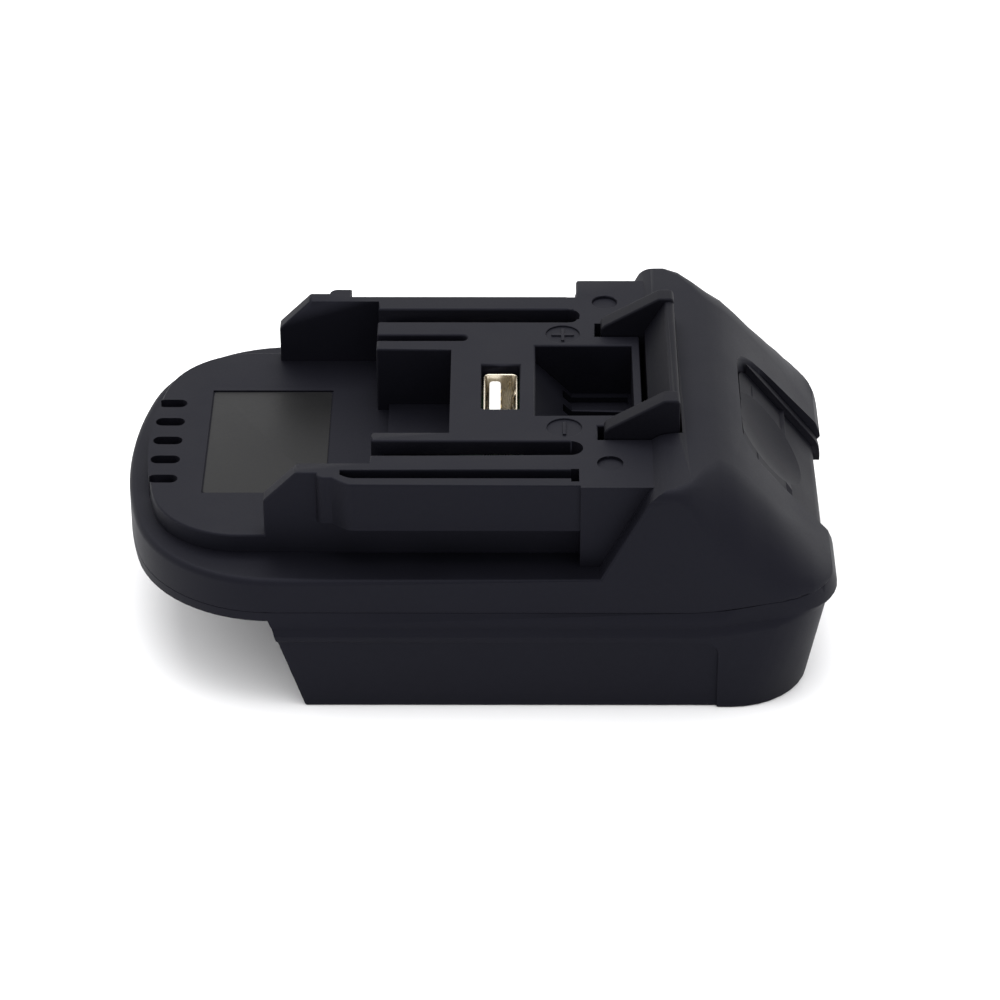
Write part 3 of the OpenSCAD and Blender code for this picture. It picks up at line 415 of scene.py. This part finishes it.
@dataclass
class SoftEdgedPiece:
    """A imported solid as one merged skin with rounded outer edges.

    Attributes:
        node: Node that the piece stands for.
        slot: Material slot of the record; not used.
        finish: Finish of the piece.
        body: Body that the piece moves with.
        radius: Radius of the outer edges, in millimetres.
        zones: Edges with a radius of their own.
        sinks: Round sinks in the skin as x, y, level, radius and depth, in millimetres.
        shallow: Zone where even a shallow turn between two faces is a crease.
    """

    node: str
    slot: str
    finish: Finish
    body: Body = Body.HOUSING
    radius: float = 0.1
    zones: tuple[EdgeZone, ...] = ()
    sinks: tuple[tuple[float, float, float, float, float], ...] = ()
    shallow: EdgeZone | None = None

    def build(self) -> bpy.types.Object:
        """Merges the skin, sinks the marks, rounds the edges and hides the node.

        Returns:
            The new piece.
        """
        mesh = self.merged()
        for sink in self.sinks:
            mesh = self.sunk(mesh, sink)
        radii = self.mark_edges(mesh)
        obj = link(mesh, self.body, self.finish)
        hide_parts(self.node)
        if radii.max() > 0.0:
            bevel = obj.modifiers.new("round_edges", "BEVEL")
            bevel.limit_method = "WEIGHT"
            bevel.width = float(radii.max())
            bevel.segments = ROUNDING_STEPS
            bevel.use_clamp_overlap = False
            self.settle(obj, radii)
        even = obj.modifiers.new("even_normals", "WEIGHTED_NORMAL")
        even.keep_sharp = True
        even.weight = NORMAL_WEIGHT
        return obj

    def merged(self) -> bpy.types.Mesh:
        """Joins the loose triangles and dissolves the flat ones into whole faces.

        Returns:
            The merged mesh.
        """
        skin = bmesh.new()
        skin.from_mesh(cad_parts[self.node].data)
        bmesh.ops.remove_doubles(skin, verts=skin.verts, dist=MERGE_GAP)
        bmesh.ops.dissolve_limit(skin, angle_limit=FLAT, verts=skin.verts, edges=skin.edges)
        mesh = bpy.data.meshes.new(self.node + "_moulded")
        skin.to_mesh(mesh)
        skin.free()
        mesh.shade_smooth()
        return mesh

    def sunk(self, mesh: bpy.types.Mesh, sink: tuple[float, float, float, float, float]) -> bpy.types.Mesh:
        """Cuts a shallow round sink into the skin with a disc as the cutter.

        Args:
            mesh: The skin.
            sink: Centre, level, radius and depth, in millimetres.

        Returns:
            The cut skin.
        """
        x, y, level, radius, depth = (v * MM for v in sink)
        heights = (level - depth, level + 1.0 * MM)
        disc = slab((x, y), (radius, radius), heights, radius * NEARLY_ROUND, 0.02 * MM)
        cutter = bpy.data.objects.new("cutter", swept_mesh("cutter", disc, ring=False))
        block = bpy.data.objects.new("block", mesh)
        for obj in (cutter, block):
            bpy.context.scene.collection.objects.link(obj)
        cut = block.modifiers.new("cut", "BOOLEAN")
        cut.operation, cut.solver, cut.object = "DIFFERENCE", "EXACT", cutter
        graph = bpy.context.evaluated_depsgraph_get()
        result = bpy.data.meshes.new_from_object(block.evaluated_get(graph))
        for obj in (cutter, block):
            used = obj.data
            bpy.data.objects.remove(obj)
            bpy.data.meshes.remove(used)
        result.name = self.node + "_moulded"
        return result

    def settle(self, obj: bpy.types.Object, radii: np.ndarray) -> None:
        """Takes the radius off edges near any point that the rounding pushes off the skin or turns over.

        A rounded edge lies inside the plain skin, never outside it or far below it.

        Args:
            obj: The piece with its rounding.
            radii: Radius of each edge, in metres.
        """
        mesh = obj.data
        points = read(mesh.vertices, "co", 3)
        tree = BVHTree.FromPolygons(points.tolist(), [tuple(f.vertices) for f in mesh.polygons])
        ends = points[read(mesh.edges, "vertices", 2, int)]
        kept = radii.copy()
        for _ in range(SETTLE_ROUNDS):
            strays = self.strays(obj, tree, float(radii.max()))
            if not len(strays):
                break
            to_ends = np.linalg.norm(ends[:, None] - strays[None, :, None], axis=-1).min(axis=(1, 2))
            middles = ends.mean(axis=1)
            to_middles = np.linalg.norm(middles[:, None] - strays[None], axis=-1).min(axis=1)
            kept[np.minimum(to_ends, to_middles) < STRAY_REACH] = 0.0
            self.drop_short_chains(mesh, radii, kept)
            dropped = (radii > 0.0) & (kept == 0.0)
            sharp = mesh.attributes["sharp_edge"].data
            sharp.foreach_set("value", read(sharp, "value", 1, int).ravel().astype(bool) | dropped)
            weights = (kept / radii.max()).astype(np.float32)
            mesh.attributes["bevel_weight_edge"].data.foreach_set("value", weights)
            mesh.update()
        counts = (int((kept > 0.0).sum()), int((radii > 0.0).sum()))
        LOG.info("%s: %d of %d edges keep their radius", obj.name, *counts)

    @staticmethod
    def drop_short_chains(mesh: bpy.types.Mesh, radii: np.ndarray, kept: np.ndarray) -> None:
        """Takes the radius off the whole of any short chain of edges that has lost part of its rounding.

        Edges that share a point belong to one chain, found by passing on the lowest point number.

        Args:
            mesh: The plain skin.
            radii: Radius of each edge at first, in metres.
            kept: Radius of each edge now, changed in place.
        """
        ends = read(mesh.edges, "vertices", 2, int)
        points = read(mesh.vertices, "co", 3)
        rounded = np.flatnonzero(radii > 0.0)
        one, two = ends[rounded].T
        label = np.arange(len(points))
        while True:
            low = np.minimum(label[one], label[two])
            if np.array_equal(low, label[one]) and np.array_equal(low, label[two]):
                break
            np.minimum.at(label, one, low)
            np.minimum.at(label, two, low)
        chain = label[one]
        span = np.linalg.norm(points[one] - points[two], axis=1)
        length = np.bincount(chain, span, len(points))
        lost = np.bincount(chain, kept[rounded] == 0.0, len(points))
        kept[rounded[(length[chain] < SHORT_CHAIN) & (lost[chain] > 0)]] = 0.0

    @staticmethod
    def strays(obj: bpy.types.Object, tree: BVHTree, reach: float) -> np.ndarray:
        """Points of the rounded piece that lie off the plain skin, and centres of turned faces.

        Args:
            obj: The piece with its rounding.
            tree: The plain skin.
            reach: Widest radius, in metres.

        Returns:
            Array of points.
        """
        shape = obj.evaluated_get(bpy.context.evaluated_depsgraph_get()).to_mesh()
        points, centres = read(shape.vertices, "co", 3), read(shape.polygons, "center", 3)
        normals, areas = read(shape.polygons, "normal", 3), read(shape.polygons, "area", 1).ravel()
        near = [tree.find_nearest(Vector(p)) for p in points]
        foot, facing = np.array([n[0] for n in near]), np.array([n[1] for n in near])
        rise = ((points - foot) * facing).sum(1)
        gap = np.linalg.norm(points - foot, axis=1)
        off = ((rise > SKIN_RISE) & (gap > SKIN_GAP)) | (gap > DEEPEST_SHARE * reach)
        faced = np.array([tree.find_nearest(Vector(c))[1] for c in centres])
        turned = ((faced * normals).sum(1) < TURNED_OVER) & (areas > SLIVER_AREA)
        obj.to_mesh_clear()
        return np.concatenate([points[off], centres[turned]])

    def mark_edges(self, mesh: bpy.types.Mesh) -> np.ndarray:
        """Gives each outer edge its radius and marks the other creases sharp.

        An edge is a crease where its two faces turn by more than the crease angle, and an outer one
        where the second face's centre lies below the first face's plane. No radius is wider than two
        fifths of the narrower face, measured square to the edge.

        Args:
            mesh: The merged mesh.

        Returns:
            Radius of each edge, in metres.
        """
        points = read(mesh.vertices, "co", 3)
        normals = read(mesh.polygons, "normal", 3)
        centres = read(mesh.polygons, "center", 3)
        ends = read(mesh.edges, "vertices", 2, int)
        corner_edges = read(mesh.loops, "edge_index", 1, int).ravel()
        corner_points = read(mesh.loops, "vertex_index", 1, int).ravel()
        starts = read(mesh.polygons, "loop_start", 1, int).ravel()
        totals = read(mesh.polygons, "loop_total", 1, int).ravel()
        corner_faces = np.repeat(np.arange(len(totals)), totals)
        order = np.argsort(corner_edges, kind="stable")
        count = np.bincount(corner_edges, minlength=len(ends))
        first = np.concatenate([[0], np.cumsum(count)[:-1]])
        whole = count == 2
        one = np.where(whole, corner_faces[order[np.minimum(first, len(order) - 1)]], 0)
        two = np.where(whole, corner_faces[order[np.minimum(first + 1, len(order) - 1)]], 0)
        turn = np.arccos(np.clip((normals[one] * normals[two]).sum(1), -1.0, 1.0))
        crease = whole & (turn > CREASE)
        middles = points[ends].mean(axis=1)
        outer = crease & (((centres[two] - middles) * normals[one]).sum(1) < PLANE_SLACK)
        along = points[ends[:, 1]] - points[ends[:, 0]]
        along /= np.maximum(np.linalg.norm(along, axis=1), SHORTEST_EDGE)[:, None]
        room = np.full(len(ends), np.inf)
        for face in np.unique(corner_faces[np.isin(corner_edges, np.flatnonzero(outer))]):
            span = slice(starts[face], starts[face] + totals[face])
            around = corner_edges[span]
            reach = points[corner_points[span]][None, :, :] - middles[around][:, None, :]
            line = along[around][:, None, :]
            reach -= (reach * line).sum(-1, keepdims=True) * line
            np.minimum.at(room, around, np.linalg.norm(reach, axis=-1).max(axis=1))
        radii = np.full(len(ends), self.radius * MM)
        for zone in self.zones:
            radii[zone.holds(middles)] = zone.radius * MM
        radii = np.where(outer, np.minimum(radii, ROOM_SHARE * room), 0.0)
        sharp = mesh.attributes.get("sharp_edge") or mesh.attributes.new("sharp_edge", "BOOLEAN", "EDGE")
        if self.shallow:
            crease |= whole & (turn > SHALLOW_CREASE) & self.shallow.holds(middles)
        sharp.data.foreach_set("value", crease & (radii == 0.0))
        if radii.max() > 0.0:
            weight = mesh.attributes.new("bevel_weight_edge", "FLOAT", "EDGE")
            weight.data.foreach_set("value", (radii / radii.max()).astype(np.float32))
        return radii


@dataclass
class PowerPort:
    """Power port: a rolled metal shell, a white tongue with four strips and two sprung leaves.

    Attributes:
        corner: Radius of the shell's corners, in metres.
        sheet: Thickness of the shell's metal, in metres.
        leaf_bow: Rise of a leaf from the wall, in metres.
        leaf_half: Half width of a leaf at its foot, in metres.
        leaf_length: Length of a leaf, in metres.
        leaf_drop: Depth of a leaf's upper end below the mouth, in metres.
        leaf_offset: Distance of a leaf from the port's centre line, in metres.
        leaf_sheet: Thickness of a leaf, in metres.
        tongue_half: Half sizes of the tongue in plan, in metres.
        tongue_place: Distance of the tongue's middle from the shell's outside, in metres.
        tongue_root: Height of the tongue's lower end above the underside of its foot, in metres.
        foot_height: Height of the tongue's foot, in metres.
        foot_gap: Gap between the foot and the shell, in metres.
        strip_half: Half sizes of a contact strip in plan, in metres.
        strip_pitch: Spacing of the contact strips, in metres.
        strip_place: Distance of the strips' middle from the shell's outside, in metres.
        centre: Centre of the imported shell.
        half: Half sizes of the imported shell.
        levels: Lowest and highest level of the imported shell.
    """

    corner: float = 1.0 * MM
    sheet: float = 0.35 * MM
    leaf_bow: float = 0.75 * MM
    leaf_half: float = 0.95 * MM
    leaf_length: float = 5.4 * MM
    leaf_drop: float = 1.2 * MM
    leaf_offset: float = 3.0 * MM
    leaf_sheet: float = 0.2 * MM
    tongue_half: tuple[float, float] = (0.95 * MM, 5.7 * MM)
    tongue_place: float = 1.95 * MM
    tongue_root: float = 4.0 * MM
    foot_height: float = 5.0 * MM
    foot_gap: float = 0.08 * MM
    strip_half: tuple[float, float] = (0.12 * MM, 0.5 * MM)
    strip_pitch: float = 2.4 * MM
    strip_place: float = 2.9 * MM
    centre: np.ndarray = field(init=False)
    half: np.ndarray = field(init=False)
    levels: tuple[float, float] = field(init=False)

    def __post_init__(self) -> None:
        """Takes the port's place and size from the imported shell."""
        low, high = (np.array(v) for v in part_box("usb_shell"))
        self.centre = (low + high) / 2
        self.half = (high - low) / 2
        self.levels = (float(low[2]), float(high[2]))

    def build(self) -> None:
        """Builds the shell, its leaves, the tongue and the strips."""
        self.shell()
        self.leaves()
        self.tongue()
        self.strips()

    def shell(self) -> None:
        """Builds the shell: a closed sheet section carried around the rounded outline."""
        low, high = self.levels
        lip = self.sheet / 2
        turn = np.linspace(0.0, np.pi, 7)
        insets = np.concatenate([[0.0], lip - lip * np.cos(turn), [self.sheet]])
        levels = np.concatenate([[low], high - lip + lip * np.sin(turn), [low]])
        plans = [rounded_rectangle(self.half[0] - i, self.half[1] - i, self.corner - i) for i in insets]
        grid = at_levels(np.stack(plans) + self.centre[:2], levels)
        obj = link(swept_mesh("port_shell", grid, ring=True), Body.HOUSING, WARM_PLATE)
        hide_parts("usb_shell")

    def leaves(self) -> None:
        """Builds two sprung leaves on the wide inner wall: a strip that bows inwards as a half sine."""
        wall = self.centre[0] + self.half[0] - self.sheet
        u, v = np.meshgrid(np.linspace(0.0, 1.0, 17), np.linspace(-1.0, 1.0, 5), indexing="ij")
        for side, name in ((-1.0, "near"), (1.0, "far")):
            bow = self.leaf_bow * np.sin(np.pi * u) + 0.02 * MM
            width = (1.0 - 0.25 * u) * self.leaf_half
            inner = np.stack(
                [
                    wall - bow - self.leaf_sheet / 2,
                    self.centre[1] + side * self.leaf_offset + v * width,
                    self.levels[1] - self.leaf_drop - self.leaf_length * (1.0 - u),
                ],
                axis=-1,
            )
            outer = inner + np.array([self.leaf_sheet, 0.0, 0.0])
            grid = np.concatenate([outer, inner[:, ::-1]], axis=1)
            link(swept_mesh(f"port_leaf_{name}", grid, ring=False), Body.HOUSING, WARM_PLATE)

    def tongue(self) -> None:
        """Builds the tongue and, below it, its foot as two round-edged slabs."""
        low, high = (np.array(v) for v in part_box("usb_tongue"))
        round_corner = 0.6 * MM
        middle = (self.centre[0] - self.half[0] + self.tongue_place, self.centre[1])
        levels = (low[2] + self.tongue_root, high[2])
        blade = slab(middle, self.tongue_half, levels, round_corner, 0.3 * MM)
        gap = self.sheet + self.foot_gap
        foot_half = (self.half[0] - gap, self.half[1] - gap)
        foot_levels = (low[2], low[2] + self.foot_height)
        foot = slab(tuple(self.centre[:2]), foot_half, foot_levels, round_corner, 0.1 * MM)
        obj = link(swept_mesh("port_tongue", blade, ring=False), Body.HOUSING, WHITE_PLASTIC)
        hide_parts("usb_tongue")
        link(swept_mesh("port_foot", foot, ring=False), Body.HOUSING, WHITE_PLASTIC)

    def strips(self) -> None:
        """Builds the four contact strips on the tongue's face."""
        low, high = (np.array(v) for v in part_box("usb_contacts"))
        face = self.centre[0] - self.half[0] + self.strip_place
        first = None
        for number in range(4):
            y = self.centre[1] + (number - 1.5) * self.strip_pitch
            grid = slab((face, y), self.strip_half, (low[2], high[2]), 0.1 * MM, 0.1 * MM)
            mesh = swept_mesh(f"port_strip_{number + 1}", grid, ring=False)
            obj = link(mesh, Body.HOUSING, GOLD)
            first = first or obj
        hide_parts("usb_contacts")


@dataclass
class LatchSpring:
    """Coil spring under the latch.

    Attributes:
        node: Node that the spring stands for.
        wire: Wire diameter, in metres.
        curls: Number of turns.
        travel: Way of the latch, in metres; not used.
    """

    node: str
    wire: float = 0.65 * MM
    curls: int = 7
    travel: float = 7.0 * MM

    def build(self) -> None:
        """Builds the wire: a circle carried along a helix, square to it.

        A point is the helix point plus the wire's radius times the cosine along the outward line and
        the sine along the line square to both the outward line and the helix.
        """
        low, high = (np.array(v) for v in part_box(self.node))
        centre = (low + high) / 2
        mean = (high[1] - low[1] - self.wire) / 2
        rise = high[2] - low[2] - self.wire
        turn = np.linspace(0.0, 2 * np.pi * self.curls, 24 * self.curls + 1)
        around = np.linspace(0.0, 2 * np.pi, 10, endpoint=False)
        out = np.stack([np.cos(turn), np.sin(turn), np.zeros_like(turn)], axis=1)
        lead = rise / (2 * np.pi * self.curls)
        along = np.stack([-mean * np.sin(turn), mean * np.cos(turn), np.full_like(turn, lead)], axis=1)
        along /= np.linalg.norm(along, axis=1)[:, None]
        up = np.cross(out, along)
        path = mean * out + np.array([centre[0], centre[1], low[2] + self.wire / 2])
        path[:, 2] += lead * turn
        cosine, sine = np.cos(around)[None, :, None], np.sin(around)[None, :, None]
        ring = cosine * out[:, None, :] - sine * up[:, None, :]
        grid = path[:, None, :] + self.wire / 2 * ring
        obj = link(swept_mesh(self.node + "_wire", grid, ring=False), Body.HOUSING, STEEL)
        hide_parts(self.node)
        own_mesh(obj)


@dataclass
class PolarityMarks:
    """Plus and minus signs in the two round sinks of the plate.

    Attributes:
        x: Place of the sinks along the part, in millimetres.
        y: Distance of the sinks from the centre line, in millimetres.
        level: Height of the plate, in millimetres.
        sink_radius: Radius of a sink, in millimetres.
        depth: Depth of a sink, in millimetres.
        arm: Length of a sign's bar, in millimetres.
        line: Width of a sign's bar, in millimetres.
    """

    x: float = 13.9
    y: float = 14.75
    level: float = 39.3
    sink_radius: float = 2.85
    depth: float = 0.28
    arm: float = 3.8
    line: float = 0.55

    def sinks(self) -> tuple[tuple[float, float, float, float, float], ...]:
        """Both sinks, for the skin of the upper shell."""
        return tuple((self.x, s * self.y, self.level, self.sink_radius, self.depth) for s in (1, -1))

    def build(self) -> None:
        """Builds a cross in the far sink and a single bar in the near one."""
        half_long, half_line = self.arm / 2 * MM, self.line / 2 * MM
        base = (self.level - self.depth - 0.05) * MM
        bars = {
            "plus_bar_across": (self.y, half_line, half_long, 0.02),
            "plus_bar_along": (self.y, half_long, half_line, 0.05),
            "minus_bar": (-self.y, half_line, half_long, 0.02),
        }
        for name, (y, half_x, half_y, drop) in bars.items():
            top = (self.level - drop) * MM
            grid = slab((self.x * MM, y * MM), (half_x, half_y), (base, top), 0.1 * MM, 0.08 * MM)
            link(swept_mesh(name, grid, ring=False), Body.HOUSING, CHARCOAL)


@dataclass
class BareLabel:
    """Blank film in the deck's shallow recess.

    Attributes:
        low: Lowest corner in plan, in millimetres.
        high: Highest corner in plan, in millimetres.
        floor: Level of the recess, in millimetres.
        film: Thickness of the film, in millimetres.
    """

    low: tuple[float, float] = (-44.85, -15.7)
    high: tuple[float, float] = (-24.95, 15.7)
    floor: float = 27.2
    film: float = 0.12

    def build(self) -> None:
        """Builds the film as a thin slab with small round corners."""
        low, high = np.array(self.low) * MM, np.array(self.high) * MM
        heights = ((self.floor - 0.02) * MM, (self.floor + self.film) * MM)
        grid = slab(tuple((low + high) / 2), tuple((high - low) / 2), heights, 0.6 * MM, 0.05 * MM)
        link(swept_mesh("bare_label", grid, ring=False), Body.HOUSING, LABEL_FILM)


@dataclass
class Studio:
    """Floor, lights and camera.

    Attributes:
        place: Camera position, in millimetres.
        focal_px: Focal length, in pixels of the 1000 pixel frame.
        pitch: Downward tilt, in degrees.
        yaw: Turn to the right, in degrees.
        roll: Turn about the viewing line, in degrees.
        lamps: Place, size and power of each soft lamp.
        sky_front: Brightness of the surroundings before the part.
        sky_back: Brightness of the surroundings behind the part.
    """

    place: tuple[float, float, float] = (6.07, -558.58, 379.08)
    focal_px: float = 3980.77
    pitch: float = 33.04
    yaw: float = -0.27
    roll: float = -0.10
    lamps: dict[str, tuple[tuple[float, float, float], float, float]] = field(
        default_factory=lambda: {
            "overhead_softbox": ((0.0, 0.20, 0.95), 1.0, 9.0),
        }
    )
    sky_front: float = 1.35
    sky_back: float = 1.4

    def camera(self) -> bpy.types.Object:
        """Builds the camera from its viewing line, right and up vectors.

        Returns:
            The camera object.
        """
        pitch, yaw, roll = (math.radians(a) for a in (self.pitch, self.yaw, self.roll))
        level = math.cos(pitch)
        ahead = Vector((math.sin(yaw) * level, math.cos(yaw) * level, -math.sin(pitch)))
        right = Vector((math.cos(yaw), -math.sin(yaw), 0.0))
        up = right.cross(ahead)
        x_axis = right * math.cos(roll) + up * math.sin(roll)
        y_axis = up * math.cos(roll) - right * math.sin(roll)
        data = bpy.data.cameras.new("photo_camera")
        data.sensor_width = SENSOR_MM
        data.lens = self.focal_px * SENSOR_MM / FRAME_PX
        data.clip_start, data.clip_end = 0.05, 20.0
        cam = bpy.data.objects.new("photo_camera", data)
        turn = Matrix((x_axis, y_axis, -ahead)).transposed().to_4x4()
        cam.matrix_world = Matrix.Translation(Vector(self.place) * MM) @ turn
        bpy.context.scene.collection.objects.link(cam)
        bpy.context.scene.camera = cam
        return cam

    def floor(self) -> bpy.types.Object:
        """Builds the pale floor as one wide quad.

        Returns:
            The floor object.
        """
        mesh = bpy.data.meshes.new("floor")
        side = 6.0
        corners = [(-side, -side, 0.0), (side, -side, 0.0), (side, side, 0.0), (-side, side, 0.0)]
        mesh.from_pydata(corners, [], [(0, 1, 2, 3)])
        obj = bpy.data.objects.new("floor", mesh)
        mat = bpy.data.materials.new("pale_floor")
        mat.use_nodes = True
        shader = mat.node_tree.nodes["Principled BSDF"]
        shader.inputs["Base Color"].default_value = (0.88, 0.88, 0.89, 1.0)
        shader.inputs["Roughness"].default_value = 0.9
        shader.inputs["Specular IOR Level"].default_value = 0.1
        mesh.materials.append(mat)
        bpy.context.scene.collection.objects.link(obj)
        return obj

    def light(self) -> None:
        """Adds the soft lamps and surroundings that grow brighter towards the back."""
        for name, (place, size, power) in self.lamps.items():
            data = bpy.data.lights.new(name, "AREA")
            data.shape, data.size, data.energy = "SQUARE", size, power
            lamp = bpy.data.objects.new(name, data)
            aim = (Vector((0.0, 0.0, 0.02)) - Vector(place)).to_track_quat("-Z", "Y")
            lamp.matrix_world = Matrix.Translation(place) @ aim.to_matrix().to_4x4()
            bpy.context.scene.collection.objects.link(lamp)
        world = bpy.data.worlds.new("studio")
        world.use_nodes = True
        nodes, links = world.node_tree.nodes, world.node_tree.links
        ambient = nodes["Background"]
        ambient.inputs["Color"].default_value = (1.0, 1.0, 1.0, 1.0)
        way = nodes.new("ShaderNodeTexCoord")
        parts = nodes.new("ShaderNodeSeparateXYZ")
        depth = nodes.new("ShaderNodeMapRange")
        depth.inputs["From Min"].default_value = -1.0
        depth.inputs["From Max"].default_value = 0.6
        depth.inputs["To Min"].default_value = self.sky_front
        depth.inputs["To Max"].default_value = self.sky_back
        links.new(way.outputs["Generated"], parts.inputs["Vector"])
        links.new(parts.outputs["Y"], depth.inputs["Value"])
        links.new(depth.outputs["Result"], ambient.inputs["Strength"])
        bpy.context.scene.world = world
        bpy.context.scene.view_settings.view_transform = "Standard"


def moulded_pieces(marks: PolarityMarks) -> tuple[SoftEdgedPiece, ...]:
    """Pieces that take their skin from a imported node.

    Args:
        marks: The marks whose sinks go into the upper shell.

    Returns:
        The pieces, from the outside in.
    """
    seam = EdgeZone((-60, -40, 17.9), (60, 40, 18.1), 0.14)
    seam_front = EdgeZone((33, -40, 17.9), (60, 40, 21), 0.14)
    button = EdgeZone((38, -20, 12), (60, 20, 42), 0.12)
    stop_end = EdgeZone((13, -33, 39.2), (21, -18, 39.4), 0.0)
    vents = EdgeZone((-56.5, -14, 27.4), (-46, 14, 27.6), 0.0)
    rim = EdgeZone((-60, -37, 24.1), (27, 37, 24.3), 1.1)
    top = SoftEdgedPiece(
        "top_shell",
        "shell_plastic",
        CHARCOAL,
        radius=0.35,
        zones=(seam, seam_front, rim, vents, stop_end),
        sinks=marks.sinks(),
    )
    bottom = SoftEdgedPiece(
        "bottom_shell", "shell_plastic", CHARCOAL, radius=0.35, zones=(seam, seam_front)
    )
    latch = SoftEdgedPiece(
        "release_latch",
        "latch_plastic",
        SHADED_LATCH_PLASTIC,
        Body.LATCH,
        radius=0.35,
        zones=(button,),
        shallow=button,
    )
    inner = (
        ("terminal_block", "terminal_plastic", BLACK_RESIN, 0.3),
        ("converter_board", "board_laminate", BOARD_RESIN, 0.1),
        ("converter_coil", "ferrite", FERRITE, 0.2),
        ("coil_winding", "copper", COPPER, 0.2),
        ("capacitors", "capacitor_can", ALUMINIUM, 0.15),
        ("converter_chip", "chip_black", BLACK_RESIN, 0.08),
        ("diode", "chip_black", BLACK_RESIN, 0.08),
        ("board_resistors", "chip_black", BLACK_RESIN, 0.06),
        ("output_clip_positive", "clip_brass", WARM_PLATE, 0.1),
        ("output_clip_negative", "clip_brass", WARM_PLATE, 0.1),
        ("battery_blade_positive", "blade_metal", WARM_PLATE, 0.15),
        ("battery_blade_negative", "blade_metal", WARM_PLATE, 0.15),
        ("lead_positive", "lead_red", RED_SLEEVE, 0.0),
        ("lead_negative", "lead_black", BLACK_RESIN, 0.0),
        ("housing_screws", "screw_steel", STEEL, 0.15),
        ("board_screws", "screw_steel", STEEL, 0.12),
    )
    plain = (
        SoftEdgedPiece(node, slot, finish, radius=radius) for node, slot, finish, radius in inner
    )
    return (top, bottom, latch, *plain)


def main() -> None:
    """Builds the studio and the pieces in order."""
    logging.basicConfig(level=logging.INFO)
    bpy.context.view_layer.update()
    studio = Studio()
    studio.camera()
    studio.floor()
    studio.light()
    marks = PolarityMarks()
    for piece in moulded_pieces(marks):
        piece.build()
    marks.build()
    BareLabel().build()
    PowerPort().build()
    for name in ("latch_spring_near", "latch_spring_far"):
        LatchSpring(name).build()


if __name__ == "__main__":
    main()
